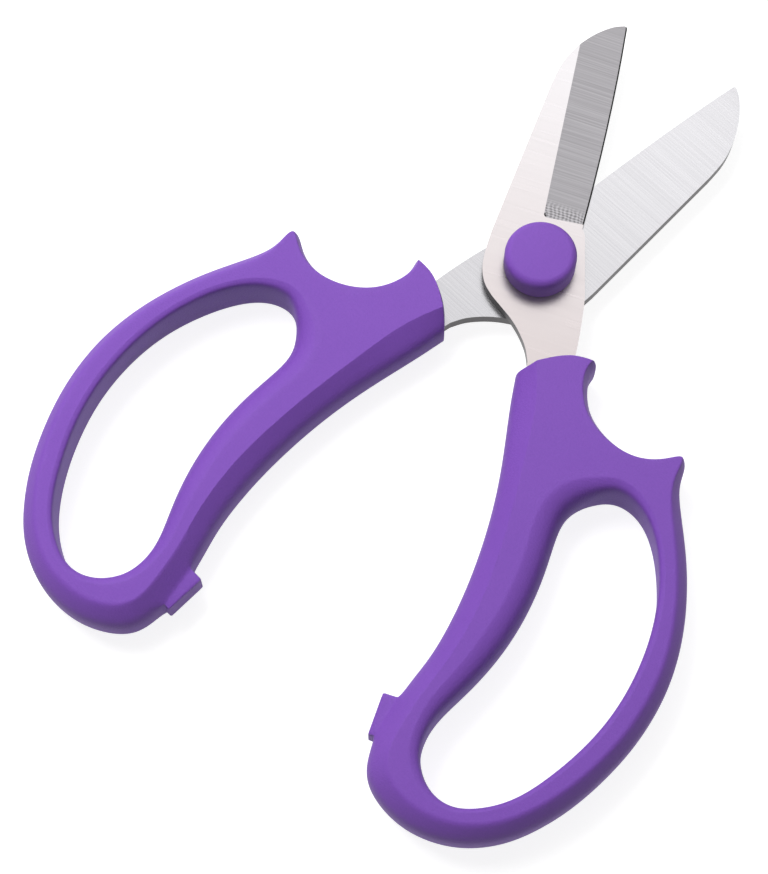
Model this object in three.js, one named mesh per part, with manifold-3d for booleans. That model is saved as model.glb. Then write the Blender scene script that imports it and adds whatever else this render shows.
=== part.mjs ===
// Florist scissors: two stamped blades, two moulded loop handles and a capped pivot bolt.
// Millimetres, +Z up. The scissors lie on their back, half open, with the pivot axis on Z.
// The origin is on the table under the pivot, and +Y runs along the centre line to the blade tips.
// Each half is drawn closed, with the centre line as x = 0, then turned open about the pivot.
import * as THREE from "three";
import { mergeVertices } from "three/addons/utils/BufferGeometryUtils.js";
import Module from "manifold-3d";

const wasm = await Module();
wasm.setup();

// Opening and clearances
const openHalfAngle = 13;
const closedHalfAngle = 0.4;
const bladeGap = 0.1;
const seatGap = 0.1;
const tangGap = 0.3;
const turnGap = 0.15;
const stopGap = 0.3;

// Blade
const bladeThickness = 2.5;
const edgeThickness = 0.4;
const grindWidth = 8;
const heelLine = 9.95;
const creaseHeel = -2.4;
const creaseLean = 7.1;
const grindCorner = 0.9;
const bladeTip = new THREE.Vector2(0.4, 57.8);
const tipRound = 1.1;
const bladeHeel = new THREE.Vector2(5.6, heelLine);
const edgeBelly = 0.55;
const bossReach = 11;

// Tang, the part of the blade that the handle is moulded round
const tangRoot = new THREE.Vector2(8.4, -19.5);
const tangEnd = new THREE.Vector2(13.6, -51);
const tangRootWidth = 8.6;
const tangEndWidth = 6.4;
const lockHoleRadius = 2;
const lockHoleShares = [0.38, 0.74];

// Handle
const handleThickness = 12;
const chamferDrop = 3;
const neckArcRadius = 16.8;
const neckArcCentre = new THREE.Vector2(16.5, -33.2);
const stopTop = -90.1;
const stopBottom = -98.4;
const stopThickness = 5.2;
const stopRoot = 5;
const stopCorner = 0.9;

// Pivot
const shankRadius = 3;
const neckStep = 1;
const flatStep = 0.15;
const headRadius = 5.5;
const headChamfer = 0.5;
const washerRim = 0.5;
const washerThickness = 0.5;
const waveThickness = 0.35;
const waveHeight = 0.4;
const waveCount = 3;
const nutAcrossFlats = 10;
const nutHeight = 2.6;
const capGap = 0.15;
const capWall = 1.08;
const capRoof = 1.25;
const capRim = 1.3;

// Steps in curves
const roundSteps = 48;
const splineSteps = 3;
const edgeSteps = 8;

// Pivot radii that follow from the shank, the nut and their clearances
const neckRadius = shankRadius + neckStep;
const neckFlat = shankRadius + flatStep;
const washerRadius = nutAcrossFlats / 2 + washerRim;
const nutCorner = nutAcrossFlats / 2 / Math.cos(Math.PI / 6);
const capBore = nutCorner + capGap;
const capRadius = capBore + capWall;

// Heights above and below the plane where the blades meet
const halfHandle = handleThickness / 2;
const bladeInner = bladeGap / 2;
const bladeOuter = bladeInner + bladeThickness;

const steel = new THREE.MeshStandardMaterial({ color: 0xd8d6d6, roughness: 0.3, metalness: 1 });
const zinc = new THREE.MeshStandardMaterial({ color: 0xb9babd, roughness: 0.4, metalness: 1 });
const purple = new THREE.MeshStandardMaterial({ color: 0x7a4fb5, roughness: 0.5, metalness: 0 });

// Handle outline: x, y and the width of the chamfer along the top and bottom edges.
// It runs down the side that faces the other handle, round the loop, up to the horn and the finger rest.
const handleOutline = [
  [1.2, -16, 4.8],
  [2.7, -22.5, 4.8],
  [4.7, -30, 4.7],
  [6.6, -40, 4.1],
  [7.75, -50, 3.7],
  [7.85, -60, 3.7],
  [7.3, -70, 3.8],
  [5.8, -79, 3.6],
  [3.7, -86.5, 3.5],
  [1.5, -93, 3.8],
  [0.7, -99, 3.8],
  [1.7, -104.2, 3.6],
  [4.7, -108.2, 3.3],
  [9.6, -110.7, 3],
  [15.5, -111.6, 2.8],
  [22, -110.6, 2.8],
  [28.5, -107.6, 2.8],
  [34, -102.9, 2.8],
  [38.8, -96.6, 2.8],
  [43, -88.7, 2.8],
  [46.1, -80.8, 2.8],
  [47.8, -72, 2.8],
  [47.8, -63, 2.8],
  [46.2, -55, 2.8],
  [43.6, -47.3, 2.8],
  [40.6, -39.8, 2.7],
  [39.1, -35, 1.9],
  [38.8, -31.2, 1],
  [38.2, -29.3, 0.9],
  [36.8, -29.3, 0.9],
  [33.6, -30.9, 1.7],
  [30, -31.9, 2.4],
  [26.2, -31.4, 2.8],
  [22.3, -29.2, 3],
  [18.9, -25.8, 3],
  [17, -21.6, 3],
  [16.7, -18.2, 2.8],
  [17.2, -14.8, 1.8],
  [16.6, -11.6, 1.2],
  [9, -10.5, 1.2],
];

// Finger hole: x, y, then the width and the drop of the rounding along its edges.
const fingerHole = [
  [28.5, -40.2, 2.4, 2.4],
  [24.4, -41.3, 2.6, 2.6],
  [21.3, -44.2, 3.2, 3.2],
  [19.8, -49, 3.8, 3.8],
  [19.6, -57, 4.2, 4.2],
  [19.3, -66, 4.2, 4.2],
  [17.6, -75, 4, 4],
  [14.2, -83, 3.4, 3.4],
  [11, -89.4, 3, 3],
  [9.6, -94.2, 2.7, 2.7],
  [9.5, -98.4, 2.4, 2.4],
  [10.8, -102, 2, 2],
  [13.8, -104.8, 1.7, 1.7],
  [18, -105.8, 1.5, 1.5],
  [23, -104.6, 1.4, 1.5],
  [28.5, -100.6, 1.3, 1.5],
  [33.8, -93.8, 1.3, 1.5],
  [38, -85.8, 1.3, 1.5],
  [40.9, -77.2, 1.3, 1.5],
  [42.1, -68, 1.3, 1.5],
  [41.7, -59.4, 1.4, 1.5],
  [39.6, -51.5, 1.6, 1.6],
  [36.4, -45.4, 1.9, 1.9],
  [32.7, -41.7, 2.2, 2.2],
];

// Blade spine from the tip down to the boss, and the hollow from the boss to the tang.
const spinePoints = [
  [-2.3, 55.95],
  [-4.75, 53.25],
  [-6.85, 50],
  [-8.5, 46.5],
  [-9.5, 43],
  [-9.95, 38.6],
];
const hollowPoints = [
  [-10.8, -1],
  [-10.2, -4.4],
  [-8.9, -7.1],
  [-6.8, -9.2],
  [-4.2, -11],
  [-1.6, -12.8],
  [0.7, -14.9],
  [2.8, -17.5],
];
const shoulderPoints = [
  [6.4, 8.9],
  [7.7, 5],
  [9.1, 0.5],
  [10.5, -4],
  [11.4, -8.5],
  [12.1, -13],
  [12.45, -16.2],
];

// A closed geometry as a solid that can be joined and cut.
function solidOf(geometry) {
  const bare = new THREE.BufferGeometry();
  const source = geometry.index ? geometry.toNonIndexed() : geometry;
  bare.setAttribute("position", source.getAttribute("position"));
  const merged = mergeVertices(bare, 1e-4);
  return new wasm.Manifold(
    new wasm.Mesh({
      numProp: 3,
      vertProperties: new Float32Array(merged.getAttribute("position").array),
      triVerts: new Uint32Array(merged.index.array),
    }),
  );
}

function geometryOf(solid) {
  const mesh = solid.getMesh();
  const geometry = new THREE.BufferGeometry();
  geometry.setAttribute("position", new THREE.BufferAttribute(new Float32Array(mesh.vertProperties), 3));
  geometry.setIndex(new THREE.BufferAttribute(new Uint32Array(mesh.triVerts), 1));
  geometry.computeVertexNormals();
  return geometry;
}

// A shape raised from one height to another.
function raised(shape, low, high) {
  const geometry = new THREE.ExtrudeGeometry(shape, {
    depth: high - low,
    bevelEnabled: false,
    curveSegments: edgeSteps,
  });
  return geometry.translate(0, 0, low);
}

// A profile of [radius, height] pairs turned about Z. It starts and ends at the same point or on the axis.
function turned(profile) {
  const points = profile.map(([radius, height]) => new THREE.Vector2(radius, height));
  return new THREE.LatheGeometry(points, roundSteps).rotateX(Math.PI / 2);
}

// A smooth closed line through points that may carry more values than x and y.
function smoothLine(points) {
  const count = points.length;
  const places = new THREE.CatmullRomCurve3(points.map(([x, y]) => new THREE.Vector3(x, y, 0)), true);
  const values = new THREE.CatmullRomCurve3(
    points.map(([, , width, drop = 0]) => new THREE.Vector3(width, drop, 0)),
    true,
  );
  const samples = [];
  for (let step = 0; step < count * splineSteps; step++) {
    const share = step / (count * splineSteps);
    const place = places.getPoint(share);
    const value = values.getPoint(share);
    const tangent = places.getTangent(share);
    const left = new THREE.Vector2(-tangent.y, tangent.x).normalize();
    samples.push({ x: place.x, y: place.y, width: value.x, drop: value.y, left });
  }
  return samples;
}

// One ring of a loft: each sample moved to its left by a share of its width, at its own height.
function ring(samples, share, height) {
  return samples.map((sample) => {
    const shift = sample.width * share;
    return new THREE.Vector3(sample.x + sample.left.x * shift, sample.y + sample.left.y * shift, height(sample));
  });
}

// A closed geometry through rings stacked upwards, with flat ends.
function loft(rings) {
  const count = rings[0].length;
  const positions = rings.flat().flatMap((point) => [point.x, point.y, point.z]);
  const faces = [];
  for (let level = 0; level + 1 < rings.length; level++) {
    for (let step = 0; step < count; step++) {
      const next = (step + 1) % count;
      const low = level * count;
      const high = low + count;
      faces.push(low + step, low + next, high + next, low + step, high + next, high + step);
    }
  }
  const flat = (points) => points.map((point) => new THREE.Vector2(point.x, point.y));
  const top = (rings.length - 1) * count;
  for (const [a, b, c] of THREE.ShapeUtils.triangulateShape(flat(rings[0]), [])) {
    faces.push(a, c, b);
  }
  for (const [a, b, c] of THREE.ShapeUtils.triangulateShape(flat(rings.at(-1)), [])) {
    faces.push(top + a, top + b, top + c);
  }
  const geometry = new THREE.BufferGeometry();
  geometry.setAttribute("position", new THREE.Float32BufferAttribute(positions, 3));
  geometry.setIndex(faces);
  return geometry;
}

// Corners of the tang, grown outwards by a margin: root left, end left, end right, root right.
// The lead carries the root's two corners on towards the pivot, with the same taper.
function tangCorners(margin, lead) {
  const length = tangEnd.distanceTo(tangRoot);
  const along = tangEnd.clone().sub(tangRoot).normalize();
  const across = new THREE.Vector2(-along.y, along.x);
  const taper = (tangRootWidth - tangEndWidth) / length;
  const corner = (distance, side) =>
    tangRoot
      .clone()
      .addScaledVector(along, distance)
      .addScaledVector(across, side * ((tangRootWidth - taper * distance) / 2 + margin));
  return [
    corner(-lead, -1),
    corner(length + margin, -1),
    corner(length + margin, 1),
    corner(-lead, 1),
  ];
}

// Places of the holes in the tang that the handle's plastic fills.
function lockHoles() {
  return lockHoleShares.map((share) => tangRoot.clone().lerp(tangEnd, share));
}

// A round hole with two flats, which keeps the bolt from turning in the rear blade.
function flattedPath(radius, flat, path) {
  const half = Math.acos(flat / radius);
  path.absarc(0, 0, radius, half, Math.PI - half, false);
  path.absarc(0, 0, radius, Math.PI + half, -half, false);
  path.closePath();
  return path;
}

function roundPath(centre, radius, path) {
  path.absarc(centre.x, centre.y, radius, 0, 2 * Math.PI, false);
  return path;
}

// Blade and tang in one plate. The outline runs from the tip along the cutting edge to the tang and back.
function bladeShape(pivotHole) {
  const points = (list) => list.map(([x, y]) => new THREE.Vector2(x, y));
  const [rootLeft, endLeft, endRight, rootRight] = tangCorners(0, 0);
  const tipSpine = new THREE.Vector2(...spinePoints[0]);
  const edgeStart = bladeTip.clone().lerp(bladeHeel, tipRound / bladeTip.distanceTo(bladeHeel));
  const spineEnd = bladeTip.clone().lerp(tipSpine, tipRound / bladeTip.distanceTo(tipSpine));
  const shape = new THREE.Shape();
  shape.moveTo(edgeStart.x, edgeStart.y);
  const middle = bladeTip.clone().lerp(bladeHeel, 0.5);
  shape.quadraticCurveTo(middle.x + 2 * edgeBelly, middle.y, bladeHeel.x, bladeHeel.y);
  shape.splineThru([...points(shoulderPoints), rootRight]);
  shape.lineTo(endRight.x, endRight.y);
  shape.lineTo(endLeft.x, endLeft.y);
  shape.lineTo(rootLeft.x, rootLeft.y);
  shape.splineThru([...points(hollowPoints).reverse(), new THREE.Vector2(-bossReach, 4)]);
  const [spineStart, ...spineCurve] = points(spinePoints).reverse();
  shape.lineTo(spineStart.x, spineStart.y);
  shape.splineThru([...spineCurve, spineEnd]);
  shape.quadraticCurveTo(bladeTip.x, bladeTip.y, edgeStart.x, edgeStart.y);
  shape.holes.push(pivotHole);
  for (const place of lockHoles()) {
    shape.holes.push(roundPath(place, lockHoleRadius, new THREE.Path()));
  }
  return shape;
}

// The wedge that grinding takes off the outer face, from the crease down to the cutting edge.
// Its corner at the heel is rounded by a prism in plan.
function grindWedge() {
  const depth = bladeThickness - edgeThickness;
  const reach = 4 * grindWidth;
  const length = 2 * bladeTip.y;
  const wedge = new THREE.BoxGeometry(reach, length, reach);
  wedge.translate(reach / 2, length / 2, reach / 2);
  wedge.rotateY(Math.atan2(depth, grindWidth));
  const plan = new THREE.Shape();
  plan.moveTo(0, length);
  plan.lineTo(0, grindCorner);
  plan.quadraticCurveTo(0, 0, grindCorner, 0);
  plan.lineTo(reach, 0);
  plan.lineTo(reach, length);
  const prism = raised(plan, -reach, reach);
  for (const geometry of [wedge, prism]) {
    geometry.rotateZ(THREE.MathUtils.degToRad(creaseLean));
    geometry.translate(creaseHeel, heelLine, bladeOuter);
  }
  return solidOf(wedge).intersect(solidOf(prism));
}

function bladeGeometry(pivotHole) {
  const plate = solidOf(raised(bladeShape(pivotHole), bladeInner, bladeOuter));
  return geometryOf(plate.subtract(grindWedge()));
}

// Handle moulding: a chamfered block with a rounded finger hole, a stop on its inner side,
// a neck cut to an arc, and a pocket with two locking pegs for the tang.
function handleGeometry() {
  const outer = smoothLine(handleOutline);
  const wall = halfHandle - chamferDrop;
  const block = loft([
    ring(outer, 1, () => -halfHandle),
    ring(outer, 0, () => -wall),
    ring(outer, 0, () => wall),
    ring(outer, 1, () => halfHandle),
  ]);
  return geometryOf(
    solidOf(block)
      .subtract(solidOf(neckCutter()))
      .subtract(fingerHoleCutter())
      .add(solidOf(stopBlock()))
      .subtract(tangPocket()),
  );
}

// Everything on the pivot's side of the neck's end arc.
function neckCutter() {
  const reach = 3 * neckArcRadius;
  const shape = new THREE.Shape();
  shape.absarc(neckArcCentre.x, neckArcCentre.y, neckArcRadius, Math.PI, 0, true);
  shape.lineTo(neckArcCentre.x + neckArcRadius, neckArcCentre.y + reach);
  shape.lineTo(neckArcCentre.x - reach, neckArcCentre.y + reach);
  shape.lineTo(neckArcCentre.x - reach, neckArcCentre.y);
  return raised(shape, -handleThickness, handleThickness);
}

// The finger hole with its rounded edges, standing past both faces.
function fingerHoleCutter() {
  const hole = smoothLine(fingerHole);
  const roundings = [60, 30, 0].map((degrees) => THREE.MathUtils.degToRad(degrees));
  const levels = roundings.map((angle) => [1 - Math.cos(angle), 1 - Math.sin(angle)]);
  const upper = levels
    .toReversed()
    .map(([out, down]) => ring(hole, -out, (sample) => halfHandle - sample.drop * down));
  const lower = levels.map(([out, down]) => ring(hole, -out, (sample) => sample.drop * down - halfHandle));
  const past = ring(hole, -1, () => handleThickness);
  const rim = ring(hole, -1, () => halfHandle);
  const pastLow = ring(hole, -1, () => -handleThickness);
  const rimLow = ring(hole, -1, () => -halfHandle);
  return solidOf(loft([pastLow, rimLow, ...lower, ...upper, rim, past]));
}

// The stop that meets its twin on the centre line when the scissors close.
function stopBlock() {
  const middle = (stopTop + stopBottom) / 2;
  const face = stopGap / 2 + middle * Math.tan(THREE.MathUtils.degToRad(closedHalfAngle));
  const shape = new THREE.Shape();
  shape.moveTo(face + stopRoot, stopTop);
  shape.lineTo(face + stopCorner, stopTop);
  shape.quadraticCurveTo(face, stopTop, face, stopTop - stopCorner);
  shape.lineTo(face, stopBottom + stopCorner);
  shape.quadraticCurveTo(face, stopBottom, face + stopCorner, stopBottom);
  shape.lineTo(face + stopRoot, stopBottom);
  return raised(shape, -stopThickness / 2, stopThickness / 2);
}

// Room for the tang, open at the neck, less the pegs that fill the tang's holes.
function tangPocket() {
  const [rootLeft, endLeft, endRight, rootRight] = tangCorners(tangGap, tangRootWidth / 2);
  const pocket = new THREE.Shape([rootLeft, endLeft, endRight, rootRight]);
  let room = solidOf(raised(pocket, bladeInner - tangGap, bladeOuter + tangGap));
  for (const place of lockHoles()) {
    const peg = roundPath(place, lockHoleRadius - tangGap, new THREE.Shape());
    room = room.subtract(solidOf(raised(peg, -halfHandle, halfHandle)));
  }
  return room;
}

// Bolt: a flat head against the rear blade, a flatted neck in it, and a round shank through the front blade.
const headTop = -bladeOuter - seatGap;
const neckTop = -bladeInner;
const washerBase = bladeOuter + seatGap;
const waveBase = washerBase + washerThickness + seatGap;
const nutBase = waveBase + waveThickness + waveHeight + seatGap;
const nutTop = nutBase + nutHeight;

function boltGeometry() {
  const profile = [
    [0, -halfHandle],
    [headRadius - headChamfer, -halfHandle],
    [headRadius, -halfHandle + headChamfer],
    [headRadius, headTop],
    [neckRadius, headTop],
    [neckRadius, neckTop],
    [shankRadius, neckTop],
    [shankRadius, nutTop],
    [0, nutTop],
  ];
  let bolt = solidOf(turned(profile));
  for (const side of [-1, 1]) {
    const flat = new THREE.BoxGeometry(2 * neckRadius, 2 * neckRadius, neckTop - headTop);
    flat.translate(side * (neckFlat + neckRadius), 0, (neckTop + headTop) / 2);
    bolt = bolt.subtract(solidOf(flat));
  }
  return geometryOf(bolt);
}

function washerGeometry() {
  const inner = shankRadius + turnGap;
  const high = washerBase + washerThickness;
  return turned([
    [inner, washerBase],
    [washerRadius, washerBase],
    [washerRadius, high],
    [inner, high],
    [inner, washerBase],
  ]);
}

// Spring washer: a thin ring that rises and falls round the shank.
function waveWasherGeometry() {
  const inner = shankRadius + turnGap;
  const outer = nutAcrossFlats / 2;
  const geometry = turned([
    [inner, 0],
    [outer, 0],
    [outer, waveThickness],
    [inner, waveThickness],
    [inner, 0],
  ]);
  const position = geometry.getAttribute("position");
  for (let index = 0; index < position.count; index++) {
    const angle = Math.atan2(position.getY(index), position.getX(index));
    const lift = (waveHeight / 2) * (1 + Math.cos(waveCount * angle));
    position.setZ(index, position.getZ(index) + waveBase + lift);
  }
  return geometry;
}

function nutGeometry() {
  const corners = [0, 1, 2, 3, 4, 5].map((side) => {
    const angle = (side * Math.PI) / 3;
    return new THREE.Vector2(nutCorner * Math.cos(angle), nutCorner * Math.sin(angle));
  });
  const shape = new THREE.Shape(corners);
  shape.holes.push(roundPath(new THREE.Vector2(), shankRadius + turnGap, new THREE.Path()));
  return raised(shape, nutBase, nutTop);
}

// Cap: a round cup pressed over the corners of the nut.
function capGeometry() {
  const base = bladeOuter + seatGap;
  const ceiling = nutTop + seatGap;
  const top = ceiling + capRoof;
  const rim = [0, 22.5, 45, 67.5, 90].map((degrees) => {
    const angle = THREE.MathUtils.degToRad(degrees);
    return [capRadius - capRim + capRim * Math.cos(angle), top - capRim + capRim * Math.sin(angle)];
  });
  return turned([[0, ceiling], [capBore, ceiling], [capBore, base], [capRadius, base], ...rim, [0, top]]);
}

function piece(name, geometry, material) {
  const mesh = new THREE.Mesh(geometry, material);
  mesh.name = name;
  return mesh;
}

// The front half as drawn, turned open to the left of the centre line.
const frontHalf = new THREE.Group();
const frontHole = roundPath(new THREE.Vector2(), shankRadius + turnGap, new THREE.Path());
frontHalf.add(piece("front_blade", bladeGeometry(frontHole), steel));
frontHalf.add(piece("right_handle", handleGeometry(), purple));
frontHalf.rotation.z = THREE.MathUtils.degToRad(openHalfAngle);

// The rear half is the same drawing turned over about the centre line, then opened the other way.
const turnedOver = new THREE.Group();
const rearHole = flattedPath(neckRadius + turnGap, neckFlat + turnGap, new THREE.Path());
turnedOver.add(piece("rear_blade", bladeGeometry(rearHole), steel));
turnedOver.add(piece("left_handle", handleGeometry(), purple));
turnedOver.rotation.y = Math.PI;
const rearHalf = new THREE.Group();
rearHalf.add(turnedOver);
rearHalf.rotation.z = -THREE.MathUtils.degToRad(openHalfAngle);

// The pivot's pieces turn with the rear half.
const pivot = new THREE.Group();
pivot.add(piece("pivot_bolt", boltGeometry(), zinc));
pivot.add(piece("flat_washer", washerGeometry(), zinc));
pivot.add(piece("wave_washer", waveWasherGeometry(), zinc));
pivot.add(piece("pivot_nut", nutGeometry(), zinc));
pivot.add(piece("pivot_cap", capGeometry(), purple));
pivot.rotation.z = rearHalf.rotation.z;

const scissors = new THREE.Group();
scissors.add(frontHalf, rearHalf, pivot);
scissors.position.z = halfHandle;

export default scissors;
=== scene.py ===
import bmesh
import bpy
import math
from collections import namedtuple
from mathutils import Matrix, Vector


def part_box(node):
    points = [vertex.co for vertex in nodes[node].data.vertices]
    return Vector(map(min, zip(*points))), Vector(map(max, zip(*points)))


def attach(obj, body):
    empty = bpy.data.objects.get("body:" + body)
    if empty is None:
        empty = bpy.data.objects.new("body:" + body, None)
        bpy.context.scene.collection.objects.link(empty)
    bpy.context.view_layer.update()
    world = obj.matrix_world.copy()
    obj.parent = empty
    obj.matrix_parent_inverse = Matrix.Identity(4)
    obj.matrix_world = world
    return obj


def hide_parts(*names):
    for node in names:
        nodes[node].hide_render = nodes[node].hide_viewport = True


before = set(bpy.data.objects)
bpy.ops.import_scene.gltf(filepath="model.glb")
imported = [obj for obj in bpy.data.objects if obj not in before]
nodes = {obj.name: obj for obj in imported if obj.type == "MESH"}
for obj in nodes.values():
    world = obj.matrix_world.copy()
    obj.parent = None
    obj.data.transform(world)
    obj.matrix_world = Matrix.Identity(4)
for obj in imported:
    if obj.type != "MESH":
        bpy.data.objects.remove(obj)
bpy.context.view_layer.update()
mm = 0.001
print("frame loaded:", ", ".join(sorted(nodes)))

# how the two halves lie: the rear one is the front one turned over about the centre line
pose = {
    "openHalfAngle": math.radians(13),
    "bladePlane": 6.0 * mm,
}
halves = [
    {"side": 1, "body": "front_half", "handle": "right_handle", "blade": "front_blade"},
    {"side": -1, "body": "rear_half", "handle": "left_handle", "blade": "rear_blade"},
]


def halfPlace(half):
    turnOver = Matrix.Identity(4) if half["side"] > 0 else Matrix.Rotation(math.pi, 4, "Y")
    opened = Matrix.Rotation(pose["openHalfAngle"] * half["side"], 4, "Z")
    return Matrix.Translation((0, 0, pose["bladePlane"])) @ opened @ turnOver @ Matrix.Scale(mm, 4)


# shader maths as Python expressions
class Wire:
    def __init__(self, tree, socket):
        self.tree = tree
        self.socket = socket

    def maths(self, operation, first, second):
        made = self.tree.nodes.new("ShaderNodeMath")
        made.operation = operation
        feed(self.tree, made.inputs[0], first)
        feed(self.tree, made.inputs[1], second)
        return Wire(self.tree, made.outputs[0])

    def __add__(self, other):
        return self.maths("ADD", self, other)

    def __radd__(self, other):
        return self.maths("ADD", other, self)

    def __sub__(self, other):
        return self.maths("SUBTRACT", self, other)

    def __rsub__(self, other):
        return self.maths("SUBTRACT", other, self)

    def __mul__(self, other):
        return self.maths("MULTIPLY", self, other)

    def __rmul__(self, other):
        return self.maths("MULTIPLY", other, self)


def feed(tree, socket, value):
    if isinstance(value, Wire):
        tree.links.new(value.socket, socket)
    else:
        socket.default_value = value


# nodes of one tree, a material's or the world's
class NodeBench:
    def __init__(self, tree):
        self.tree = tree

    def node(self, kind, settings=None, sockets=None, out=0):
        made = self.tree.nodes.new("ShaderNode" + kind)
        for key, value in (settings or {}).items():
            setattr(made, key, value)
        for key, value in (sockets or {}).items():
            feed(self.tree, made.inputs[key], value)
        return Wire(self.tree, made.outputs[out])

    # object coordinates, turned about z and then stretched
    def place(self, turn=0.0, stretch=(1, 1, 1)):
        where = self.node("TexCoord", out="Object")
        turned = self.node("Mapping", sockets={"Vector": where, "Rotation": (0, 0, turn)})
        return self.node("Mapping", sockets={"Vector": turned, "Scale": stretch})

    def part(self, where, axis):
        return self.node("SeparateXYZ", sockets={"Vector": where}, out=axis)

    def noise(self, where, scale, detail=2.0, rough=0.5):
        sockets = {"Vector": where, "Scale": scale, "Detail": detail, "Roughness": rough}
        return self.node("TexNoise", sockets=sockets)

    def sine(self, value):
        return self.node("Math", {"operation": "SINE"}, {0: value})

    # 0 at start and 1 at end, and level beyond them
    def fade(self, value, start, end):
        return self.node("MapRange", sockets={"Value": value, "From Min": start, "From Max": end})

    # the colour sockets share their names with others, so they go by number
    def blend(self, share, first, second):
        return self.node("Mix", {"data_type": "RGBA"}, {0: share, 6: first, 7: second}, out=2)

    def bump(self, height, strength, distance):
        return self.node("Bump", sockets={"Height": height, "Strength": strength, "Distance": distance})

    # rays that show the background: the camera's own, mirrored ones and those through glass
    def shown(self):
        seen = self.node("LightPath", out="Is Camera Ray")
        mirrored = self.node("LightPath", out="Is Glossy Ray")
        through = self.node("LightPath", out="Is Transmission Ray")
        return seen + mirrored + through


class Finish(NodeBench):
    def __init__(self, name):
        self.material = bpy.data.materials.new(name)
        self.material.use_nodes = True
        super().__init__(self.material.node_tree)

    def surface(self, sockets):
        shader = self.tree.nodes["Principled BSDF"]
        for key, value in sockets.items():
            feed(self.tree, shader.inputs[key], value)
        return self.material


# a value that a pattern of 0 to 1 moves up and down
def around(middle, spread, pattern):
    return middle - spread / 2 + pattern * spread


def grey(level):
    return (level, level, level, 1)


# satin plastic of the handles and the cap
plasticLook = {
    "colour": (0.221, 0.078, 0.485, 1),
    "deep": (0.172, 0.057, 0.42, 1),
    "roughness": 0.6,
    "roughnessSpread": 0.12,
    "gloss": 0.75,
    "grain": {"scale": 2600.0, "detail": 3.0, "rough": 0.6},
    "grainContrast": 2.0,
    "grainShare": 0.6,  # the rest of the colour's change follows the clouds
    "grainStrength": 0.5,
    "grainDepth": 0.15 * mm,
    "cloud": {"scale": 60.0, "detail": 2.0},
}


def satinPlastic(name):
    look = plasticLook
    finish = Finish(name)
    where = finish.place()
    grain = finish.noise(where, **look["grain"])
    cloud = finish.noise(where, **look["cloud"])
    contrast = look["grainContrast"]
    speckle = grain * contrast - (contrast - 1) / 2
    share = look["grainShare"]
    return finish.surface({
        "Base Color": finish.blend(speckle * share + cloud * (1 - share), look["deep"], look["colour"]),
        "Roughness": around(look["roughness"], look["roughnessSpread"], grain),
        "Specular IOR Level": look["gloss"],
        "Normal": finish.bump(grain, look["grainStrength"], look["grainDepth"]),
    })


# steel of the blades, one look for each kind of face
# at the tang the colours are multiplied by a painted shade, which darkens the blades towards the handles
# and on the outer face adds a warm painted reflection of the purple handles; lines is how far the grinding
# lines stand out
steelLooks = {
    "face": {
        "colour": (0.463, 0.45, 0.46), "dark": (0.454, 0.44, 0.45), "root": (0.825, 0.768, 0.75),
        "roughness": 0.3, "lines": 0.0,
    },
    "ground": {
        "colour": (0.443, 0.431, 0.45), "dark": (0.173, 0.166, 0.175), "root": (1, 1, 1),
        "roughness": 0.34, "lines": 0.35,
    },
    "inner": {
        "colour": (0.504, 0.498, 0.513), "dark": (0.295, 0.291, 0.303), "root": (0.78, 0.78, 0.78),
        "roughness": 0.25, "lines": 0.3,
    },
    # the blades' side walls, far darker than their faces: painted shade
    "edge": {
        "colour": (0.12, 0.115, 0.117), "dark": (0.06, 0.057, 0.058), "root": (1, 1, 1),
        "roughness": 0.4, "lines": 0.1,
    },
    # a near-black line along the cutting edge: painted shadow of the gap between the blades
    "keenShadow": {
        "colour": (0.03, 0.03, 0.03), "dark": (0.015, 0.015, 0.015), "root": (1, 1, 1),
        "roughness": 0.6, "lines": 0.1,
    },
}
grinding = {
    "fineStretch": (24, 3000, 24),  # the lines run across the blade, so they lie close along y
    "fine": {"scale": 1.0, "detail": 2.0, "rough": 0.6},
    "fineShare": 0.85,  # the rest of the streaks is broad
    "broadStretch": (16, 300, 16),
    "broad": {"scale": 1.0, "detail": 1.0},
    "roughnessSpread": 0.16,
    "lineDepth": 0.02 * mm,
    # the painted shade at the tang fades out towards the tip between these
    "rootRange": (-18 * mm, 45 * mm),  # the tang's colour fades into the tip's between these
}
chatter = {
    "crease": math.radians(7.1),  # lean of the ground face's upper line
    "band": (14.2 * mm, 12.6 * mm),  # the marks fade in between these, going down
    "acrossPitch": 0.8 * mm,
    "alongPitch": 0.6 * mm,
    "wander": 12.0,
    "wanderScale": 500.0,
    "depth": 0.6,
}


def tinted(colour, factor=(1, 1, 1)):
    return (*[level * share for level, share in zip(colour, factor)], 1)


def groundSteel(name, kind, turn):
    look = steelLooks[kind]
    finish = Finish(name)
    lean = math.copysign(chatter["crease"], turn) if kind == "ground" else 0.0
    lines = finish.noise(finish.place(turn + lean, grinding["fineStretch"]), **grinding["fine"])
    broad = finish.noise(finish.place(turn + lean, grinding["broadStretch"]), **grinding["broad"])
    streak = lines * grinding["fineShare"] + broad * (1 - grinding["fineShare"])
    if kind == "ground":
        streak = streak + chatterMarks(finish, turn + lean)
    tip = finish.blend(streak, tinted(look["dark"]), tinted(look["colour"]))
    # the same colours under the painted shade, for the tang
    shadedTang = finish.blend(streak, tinted(look["dark"], look["root"]), tinted(look["colour"], look["root"]))
    along = finish.part(finish.place(turn), "Y")
    share = finish.fade(along, *grinding["rootRange"])
    return finish.surface({
        "Base Color": finish.blend(share, shadedTang, tip),
        "Metallic": 1.0,
        "Roughness": around(look["roughness"], grinding["roughnessSpread"], lines),
        "Normal": finish.bump(lines, look["lines"], grinding["lineDepth"]),
    })


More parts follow.
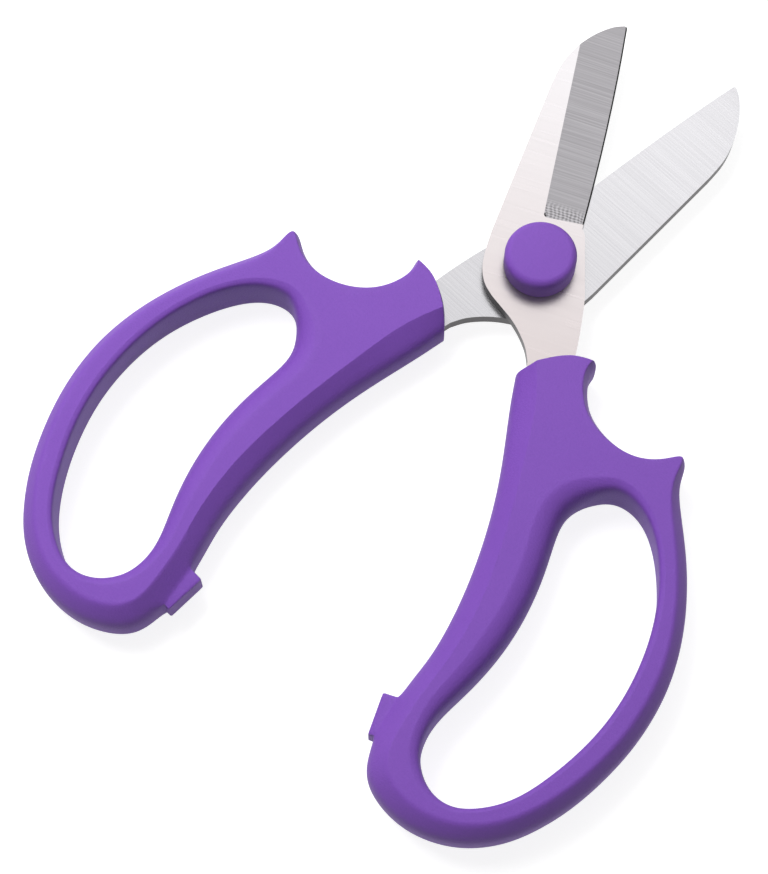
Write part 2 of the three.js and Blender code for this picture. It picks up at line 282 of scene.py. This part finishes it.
# crossed rows of light and dark dots that the grinding leaves at the heel
def chatterMarks(finish, turn):
    where = finish.place(turn)
    height = finish.part(where, "Y")
    across = finish.part(where, "X") * (math.pi / chatter["acrossPitch"])
    along = height * (math.pi / chatter["alongPitch"])
    wander = finish.noise(where, chatter["wanderScale"]) * chatter["wander"]
    falling = finish.sine(across + along + wander)
    rising = finish.sine(across - along)
    return falling * rising * finish.fade(height, *chatter["band"]) * chatter["depth"]


# plated steel of the bolt, washers and nut
platedLook = {
    "colour": (0.66, 0.66, 0.68, 1),
    "dark": (0.5, 0.5, 0.52, 1),
    "roughness": 0.375,
    "roughnessSpread": 0.15,
    "spots": {"scale": 900.0, "detail": 3.0},
}


def platedSteel(name):
    look = platedLook
    finish = Finish(name)
    spots = finish.noise(finish.place(), **look["spots"])
    return finish.surface({
        "Base Color": finish.blend(spots, look["dark"], look["colour"]),
        "Metallic": 1.0,
        "Roughness": around(look["roughness"], look["roughnessSpread"], spots),
    })


plastic = satinPlastic("purple_plastic")
plated = platedSteel("plated_steel")
print("plastic and plated steel mixed")


def objectFrom(mesh, name):
    data = bpy.data.meshes.new(name)
    mesh.to_mesh(data)
    mesh.free()
    made = bpy.data.objects.new(name, data)
    bpy.context.scene.collection.objects.link(made)
    return made


def pieceFrom(mesh, name, materials, body, replaced, smooth=True):
    made = objectFrom(mesh, name)
    for face in made.data.polygons:
        face.use_smooth = smooth
    for material in materials:
        made.data.materials.append(material)
    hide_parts(replaced)
    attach(made, body)
    return made


# handle, in millimetres with the centre line of the closed scissors as x = 0
handle = {
    # x, y, width of the chamfer, crease of its upper line
    # the list starts at the neck's inner corner, runs down the inner side and round the loop,
    # and comes back over the horn, the finger rest and the lip
    "outline": [
        (2.85, -23.3, 4.8, 1), (3.92, -30.18, 4.7, 1), (5.81, -40.12, 4.1, 1),
        (7.13, -50.04, 3.7, 1), (7.55, -59.99, 3.7, 1), (7.1, -69.98, 3.8, 1),
        (5.74, -78.99, 3.6, 1), (4.01, -84.94, 3.5, 1), (2.4, -90.1, 3.5, 0.95),
        (0.7, -98.4, 3.6, 0.8), (1.38, -104.33, 3.6, 0.6), (4.54, -108.39, 3.3, 0.4),
        (9.57, -111.09, 3, 0.25), (15.5, -112.15, 2.8, 0.15), (22.13, -111.3, 2.6, 0.1),
        (28.73, -108.15, 2.5, 0.1), (34.29, -103.17, 2.4, 0.1), (39.15, -96.82, 2.3, 0.1),
        (43.44, -88.9, 2.2, 0.1), (46.43, -80.89, 2.2, 0.1), (48.08, -72.03, 2.2, 0.1),
        (47.94, -62.99, 2.2, 0.1), (46.46, -54.93, 2.2, 0.1), (43.98, -47.16, 2.2, 0.1),
        (40.81, -39.72, 2.2, 0.1), (39.1, -35, 1.6, 0.1), (38.85, -31.9, 1, 0.1),
        (38.65, -30.5, 0.8, 0.1), (37.97, -29.42, 0.8, 0.1), (36.42, -29.51, 0.8, 0.1),
        (33.6, -31, 0.9, 0.1), (30, -31.9, 1, 0.1), (26.2, -31.4, 1.1, 0.1),
        (22.12, -29.44, 1.2, 0.1), (18.57, -26.03, 1.2, 0.1), (16.76, -21.67, 1.2, 0.1),
        (16.6, -18.8, 1.1, 0.1), (16.95, -17.1, 0.9, 0.1), (16, -16.4, 0.7, 0.2),
        (13.4, -16.7, 0.5, 0.4), (10, -17.7, 0.5, 0.5), (6.3, -19.9, 0.5, 0.6),
    ],
    "corner": 0,  # the point that stays sharp at the neck's end
    "cornerCrease": 1.0,
    "neckCorner": (5.9, -20.9),  # where the inner chamfer meets the top at the neck's end
    "neckShelf": (0.35, -0.7),  # step from there to the flat top
    "shelf": 0.3,  # share of the chamfer's width that stays flat beside it
    "nub": (8, 9),  # the stop stands on the wall between these two points
    "nubFace": -0.5,
    "nubDraft": 0.87,  # how thick the stop is at its face, as a share of the wall that it stands on
    # x, y, width and drop of the rounding round the finger hole, crease of its upper line,
    # and how much further out the wall lies at the underside
    "hole": [
        (28.5, -40.2, 1.9, 1.9, 0.5, 0.1), (24.74, -41.91, 2.8, 2.8, 0.4, 0),
        (22.07, -44.66, 4, 4, 0.2, 0), (20.3, -49.07, 4.5, 4.5, 0, 0),
        (20.2, -57.02, 4.4, 4.4, 0, 0), (19.63, -66.04, 4.2, 4.2, 0, 0),
        (17.67, -75.02, 4, 4, 0, 0), (14.47, -83.12, 3.4, 3.4, 0, 0),
        (11.23, -89.49, 2.8, 2.8, 0, 0), (9.65, -94.21, 2.25, 2.25, 0, 0),
        (9.67, -98.37, 2.1, 2.1, 0, 0), (11.1, -101.8, 1.9, 1.9, 0.1, 0),
        (13.88, -104.64, 1.5, 1.5, 0.2, 0), (18, -105.88, 1.2, 1.2, 0.3, 0),
        (22.95, -104.49, 1, 1, 0.4, 0), (28.42, -100.52, 1, 1, 0.4, 0.25),
        (33.59, -93.66, 1.1, 1, 0.4, 0.7), (37.84, -85.73, 1.2, 1, 0.4, 0.85),
        (40.64, -77.14, 1.2, 1, 0.4, 1.1), (41.83, -67.99, 1.2, 1, 0.4, 1.2),
        (41.43, -59.44, 1.2, 1, 0.4, 1), (39.51, -51.54, 1.2, 1.1, 0.5, 0.65),
        (36.4, -45.4, 1.2, 1.2, 0.5, 0.65), (32.7, -41.7, 1.5, 1.5, 0.5, 0.6),
    ],
    # rings of that rounding, as shares of its width towards the hole and of its drop
    # the first ring stands proud, so that it bridges cleanly, and is flattened afterwards
    "holeSteps": ((-1.12, -1.0), (-1.0, 0.0), (-0.28, 0.28), (0.0, 1.0)),
    "halfThickness": 6.0,
    "chamferDrop": 3.0,
    "wallCrease": 0.3,  # soft line between the wall and the chamfers
    "nubCrease": 0.8,
    "cageTurns": 30,  # rounds of moving the cage until its smooth form meets the points
    "levels": 3,
    "edgeRadius": 0.35,
    "edgeSegments": 3,
    "edgeAngle": math.radians(24),
}
Ring = namedtuple("Ring", "verts edges")


# sideways directions at the points, to the left of the way that the closed list runs
def leftNormals(points):
    count = len(points)
    found = []
    for i in range(count):
        along = Vector(points[(i + 1) % count][:2]) - Vector(points[i - 1][:2])
        found.append(Vector((-along.y, along.x)).normalized())
    return found


# cage points whose subdivided closed line runs through the given ones; held points stay corners
def cageThrough(points, held=()):
    count = len(points)
    wanted = [Vector(point) for point in points]
    cage = [point.copy() for point in wanted]
    for turn in range(handle["cageTurns"]):
        for i in range(count):
            if i not in held:
                reached = (cage[i - 1] + 4 * cage[i] + cage[(i + 1) % count]) / 6
                cage[i] += wanted[i] - reached
    return cage


def ringOf(mesh, places):
    verts = [mesh.verts.new(place) for place in places]
    edges = [mesh.edges.new((verts[i - 1], verts[i])) for i in range(len(verts))]
    return Ring(verts, edges)


def bridgeRings(mesh, rings):
    for low, high in zip(rings, rings[1:]):
        bmesh.ops.bridge_loops(mesh, edges=low.edges + high.edges)


def creaseEdges(mesh, edges, value):
    layer = mesh.edges.layers.float["crease_edge"]
    for edge in edges:
        edge[layer] = value


# from the flat underside round the wall to the flat top
def outerRings(mesh):
    outline = handle["outline"]
    corner = handle["corner"]
    inward = leftNormals(outline)
    plan = cageThrough([(x, y) for x, y, width, crease in outline], held=(corner, *handle["nub"]))
    crest = [Vector((x, y)) + way * width for (x, y, width, crease), way in zip(outline, inward)]
    crest[corner] = Vector(handle["neckCorner"])
    shelf = [place + way * point[2] * handle["shelf"] for place, point, way in zip(crest, outline, inward)]
    shelf[corner] = crest[corner] + Vector(handle["neckShelf"])
    crest = cageThrough(crest, held=(corner,))
    top = handle["halfThickness"]
    wall = top - handle["chamferDrop"]
    lines = ((shelf, -top), (crest, -top), (plan, -wall), (plan, wall), (crest, top), (shelf, top))
    rings = [ringOf(mesh, [(place.x, place.y, level) for place in line]) for line, level in lines]
    bridgeRings(mesh, rings)
    return rings


# from the flat top down the finger hole's wall to the flat underside
def holeRings(mesh):
    hole = handle["hole"]
    top = handle["halfThickness"]
    steps = handle["holeSteps"]
    intoHole = leftNormals(hole)
    drops = [point[3] for point in hole]

    def ringAt(share, heights, lean):
        line = []
        for (x, y, width, drop, crease, draft), way in zip(hole, intoHole):
            line.append(Vector((x, y)) + way * (width * share - draft * lean))
        return ringOf(mesh, [(place.x, place.y, z) for place, z in zip(cageThrough(line), heights)])

    rings = [ringAt(share, [top - drop * down for drop in drops], 0.0) for share, down in steps]
    rings.append(ringAt(0.0, [0.0] * len(hole), 0.5))
    for share, down in reversed(steps):
        rings.append(ringAt(share, [drop * down - top for drop in drops], 1.0))
    bridgeRings(mesh, rings)
    for ring, level in ((rings[0], top), (rings[-1], -top)):
        for vert in ring.verts:
            vert.co.z = level
    return rings


def creaseHandle(mesh, outer, inner):
    underCrest, underWall, topWall, topCrest = outer[1:5]
    for ring in (underWall, topWall):
        creaseEdges(mesh, ring.edges, handle["wallCrease"])
    for ring in (underCrest, topCrest):
        for edge, point in zip(ring.edges, handle["outline"]):
            creaseEdges(mesh, [edge], point[3])
    for ring in (inner[1], inner[-2]):
        for edge, point in zip(ring.edges, handle["hole"]):
            creaseEdges(mesh, [edge], point[4])
    corners = [ring.verts[handle["corner"]] for ring in (underCrest, underWall, topWall, topCrest)]
    upright = [mesh.edges.get(pair) for pair in zip(corners, corners[1:])]
    creaseEdges(mesh, upright, handle["cornerCrease"])


# the stop is pushed out of the wall towards the centre line
def pushStop(mesh, wallRings):
    wallCorners = {ring.verts[place] for ring in wallRings for place in handle["nub"]}
    walls = [face for face in mesh.faces if set(face.verts) == wallCorners]
    pushed = bmesh.ops.extrude_face_region(mesh, geom=walls)["geom"]
    bmesh.ops.delete(mesh, geom=walls, context="FACES_ONLY")
    ends = [made for made in pushed if isinstance(made, bmesh.types.BMFace)]
    for vert in {vert for end in ends for vert in end.verts}:
        vert.co.x = handle["nubFace"]
        vert.co.z *= handle["nubDraft"]
    sides = {face for end in ends for edge in end.edges for face in edge.link_faces}
    creaseEdges(mesh, {edge for side in sides for edge in side.edges}, handle["nubCrease"])


def handleMesh():
    mesh = bmesh.new()
    mesh.edges.layers.float.new("crease_edge")
    outer = outerRings(mesh)
    inner = holeRings(mesh)
    for rim, hole, facing in ((outer[-1], inner[0], 1), (outer[0], inner[-1], -1)):
        bmesh.ops.triangle_fill(
            mesh, use_beauty=True, use_dissolve=False, edges=rim.edges + hole.edges, normal=(0, 0, facing),
        )
    creaseHandle(mesh, outer, inner)
    underWall, topWall = outer[2:4]
    pushStop(mesh, (underWall, topWall))
    bmesh.ops.recalc_face_normals(mesh, faces=mesh.faces)
    print("handle cage:", len(mesh.verts), "points")
    return mesh


def addHandle(half):
    mesh = handleMesh()
    if half["side"] < 0:
        bmesh.ops.scale(mesh, vec=(1, 1, -1), verts=mesh.verts)  # both handles keep the same side up
        bmesh.ops.reverse_faces(mesh, faces=mesh.faces)
    bmesh.ops.transform(mesh, matrix=halfPlace(half), verts=mesh.verts)
    name = half["handle"]
    made = pieceFrom(mesh, name + "_moulding", [plastic], half["body"], name)
    rounding = made.modifiers.new("rounding", "SUBSURF")
    rounding.levels = handle["levels"]
    rounding.render_levels = handle["levels"]
    edges = made.modifiers.new("edges", "BEVEL")
    edges.width = handle["edgeRadius"] * mm
    edges.segments = handle["edgeSegments"]
    edges.limit_method = "ANGLE"
    edges.angle_limit = handle["edgeAngle"]


# blades: the plates as modelled, with a painted shadow along the cutting edge and a finish for each kind of
# face, painted shade darkening the side walls and the tang
blade = {
    "weld": 0.001 * mm,  # points closer than this become one
    "flatAngle": math.radians(0.5),  # triangles that lie flatter than this become one face
    "facetTilt": (0.9, 0.995),  # how upright a ground face's normal is
    "heel": 9.5 * mm,  # the cutting edge starts above this
    "keenShadowHeight": 1.2 * mm,  # and is no taller than this
    "keenShadowLean": 0.3,  # how far its normal points to the cutting side
    # the rim is a painted shadow: a dark line where the gap between the blades lies in shade
    "rim": 0.3 * mm,  # dark line along the cutting edge
    "rimLean": 0.5,  # how far the face beside that line points to the cutting side
}


def addBlade(half):
    name = half["blade"]
    outside = half["side"]
    turn = -pose["openHalfAngle"] * outside
    mesh = bmesh.new()
    mesh.from_mesh(nodes[name].data)
    bmesh.ops.remove_doubles(mesh, verts=mesh.verts, dist=blade["weld"])
    bmesh.ops.dissolve_limit(mesh, angle_limit=blade["flatAngle"], verts=mesh.verts, edges=mesh.edges)
    bladeAxis = Vector((math.sin(turn), math.cos(turn), 0))
    cutSide = Vector((math.cos(turn), -math.sin(turn), 0)) * outside
    plane = min(vert.co.z * outside for vert in mesh.verts)
    tilted, upright = blade["facetTilt"]

    def isGround(face):
        return tilted < face.normal.z * outside < upright

    def isKeenShadow(face):
        sideways = face.normal.dot(cutSide) > blade["keenShadowLean"]
        beyond = min(vert.co.dot(bladeAxis) for vert in face.verts) > blade["heel"]
        height = max(vert.co.z * outside for vert in face.verts) - plane
        return sideways and beyond and height < blade["keenShadowHeight"]

    # the rim beside the cutting side and the low sideways faces past the heel take the near-black painted
    # shadow, the other side walls the dark steel of painted shade
    def kindOf(face):
        up = face.normal.z * outside
        beside = {other for edge in face.edges for other in edge.link_faces}
        if face in rim and any(other.normal.dot(cutSide) > blade["rimLean"] for other in beside):
            return "keenShadow"
        if up > upright:
            return "face"
        if isGround(face):
            return "ground"
        if up < -upright:
            return "inner"
        return "keenShadow" if isKeenShadow(face) else "edge"

    mesh.normal_update()
    rim = bmesh.ops.inset_region(
        mesh, faces=[face for face in mesh.faces if isGround(face)], thickness=blade["rim"],
        use_even_offset=True, use_boundary=True,
    )["faces"]
    print(name, "rim of", len(rim), "faces")
    kinds = list(steelLooks)
    steels = [groundSteel(f"{name}_{kind}", kind, turn) for kind in kinds]
    mesh.normal_update()
    for face in mesh.faces:
        face.material_index = kinds.index(kindOf(face))
    pieceFrom(mesh, name + "_plate", steels, half["body"], name, smooth=False)


# pivot cap: a turned cup with a soft rim, in millimetres
cap = {
    "radius": 7.0,
    "wall": 1.08,
    "roof": 1.25,
    "rim": 1.5,
    "rimSegments": 8,
    "steps": 96,
    "weld": 0.001,
}


def addCap():
    low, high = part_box("pivot_cap")
    base = low.z / mm
    top = high.z / mm
    mesh = bmesh.new()
    radius = cap["radius"]
    bore = radius - cap["wall"]
    ceiling = top - cap["roof"]
    places = [(0, top), (radius, top), (radius, base), (bore, base), (bore, ceiling), (0, ceiling)]
    verts = [mesh.verts.new((across, 0, height)) for across, height in places]
    edges = [mesh.edges.new(pair) for pair in zip(verts, verts[1:])]
    bmesh.ops.bevel(
        mesh, geom=[verts[1]], offset=cap["rim"], offset_type="OFFSET", affect="VERTICES",
        segments=cap["rimSegments"], profile=0.5, material=-1,
    )
    bmesh.ops.spin(
        mesh, geom=mesh.verts[:] + mesh.edges[:], cent=(0, 0, 0), axis=(0, 0, 1), angle=2 * math.pi,
        steps=cap["steps"], use_merge=True,
    )
    bmesh.ops.remove_doubles(mesh, verts=mesh.verts, dist=cap["weld"])
    bmesh.ops.recalc_face_normals(mesh, faces=mesh.faces)
    bmesh.ops.scale(mesh, vec=(mm, mm, mm), verts=mesh.verts)
    print("cap turned from", len(edges), "lines")
    pieceFrom(mesh, "pivot_cap_cup", [plastic], "rear_half", "pivot_cap")


for half in halves:
    addHandle(half)
    addBlade(half)
addCap()
for name in ("pivot_bolt", "flat_washer", "wave_washer", "pivot_nut"):
    nodes[name].data.materials.clear()
    nodes[name].data.materials.append(plated)
print("pieces made")

# floor, light and camera
studio = {
    "floor": 0.42,
    "floorRoughness": 0.9,
    "floorSize": 12.0,
    "floorGap": 0.2 * mm,
    "floorLift": 0.86,  # how far the floor looks brighter than its colour
    "world": 0.09,
    "boxes": {
        "softbox": {"place": (-0.38, 0.42, 0.85), "size": (0.75, 0.95), "power": 3.0, "mirrored": True},
        "fill": {"place": (0.3, 0.7, 0.75), "size": (0.5, 0.5), "power": 0.5, "mirrored": True},
        "key": {"place": (-0.29, 0.01, 0.45), "size": (0.3, 0.3), "power": 2.45, "mirrored": False},
    },
}
view = {
    "sensor": 36,
    "lens": 88.56,
    "place": (68.02 * mm, -163.57 * mm),
    "height": 383.9 * mm,  # above the blades
    "tilt": math.radians(20),
    "turn": math.radians(32.4),
}


def addFloor():
    mesh = bmesh.new()
    below = Matrix.Translation((0, 0, -studio["floorGap"]))
    bmesh.ops.create_grid(mesh, x_segments=1, y_segments=1, size=studio["floorSize"], matrix=below)
    floor = objectFrom(mesh, "floor")
    finish = Finish("pale_floor")
    floor.data.materials.append(finish.surface({
        "Base Color": grey(studio["floor"]),
        "Roughness": studio["floorRoughness"],
        "Emission Color": finish.blend(finish.shown(), grey(0), grey(studio["floorLift"])),
        "Emission Strength": 1.0,
    }))


def addLights():
    world = bpy.data.worlds.new("studio")
    bpy.context.scene.world = world
    world.use_nodes = True
    sky = world.node_tree.nodes["Background"]
    bench = NodeBench(world.node_tree)
    feed(bench.tree, sky.inputs["Color"], bench.blend(bench.shown(), grey(studio["world"]), grey(1)))
    for name, made in studio["boxes"].items():
        box = bpy.data.lights.new(name, "AREA")
        box.shape = "RECTANGLE"
        box.size, box.size_y = made["size"]
        box.energy = made["power"]
        holder = bpy.data.objects.new(name, box)
        holder.location = made["place"]
        holder.visible_glossy = made["mirrored"]  # whether the steel shows it
        holder.rotation_euler = (-Vector(made["place"])).to_track_quat("-Z", "Y").to_euler()
        bpy.context.scene.collection.objects.link(holder)


def addCamera():
    lens = bpy.data.cameras.new("camera")
    lens.sensor_width = view["sensor"]
    lens.lens = view["lens"]
    camera = bpy.data.objects.new("camera", lens)
    camera.location = (*view["place"], pose["bladePlane"] + view["height"])
    camera.rotation_euler = (view["tilt"], 0, view["turn"])
    bpy.context.scene.collection.objects.link(camera)
    bpy.context.scene.camera = camera


addFloor()
addLights()
addCamera()
bpy.context.scene.view_settings.view_transform = "Standard"
print("studio set")
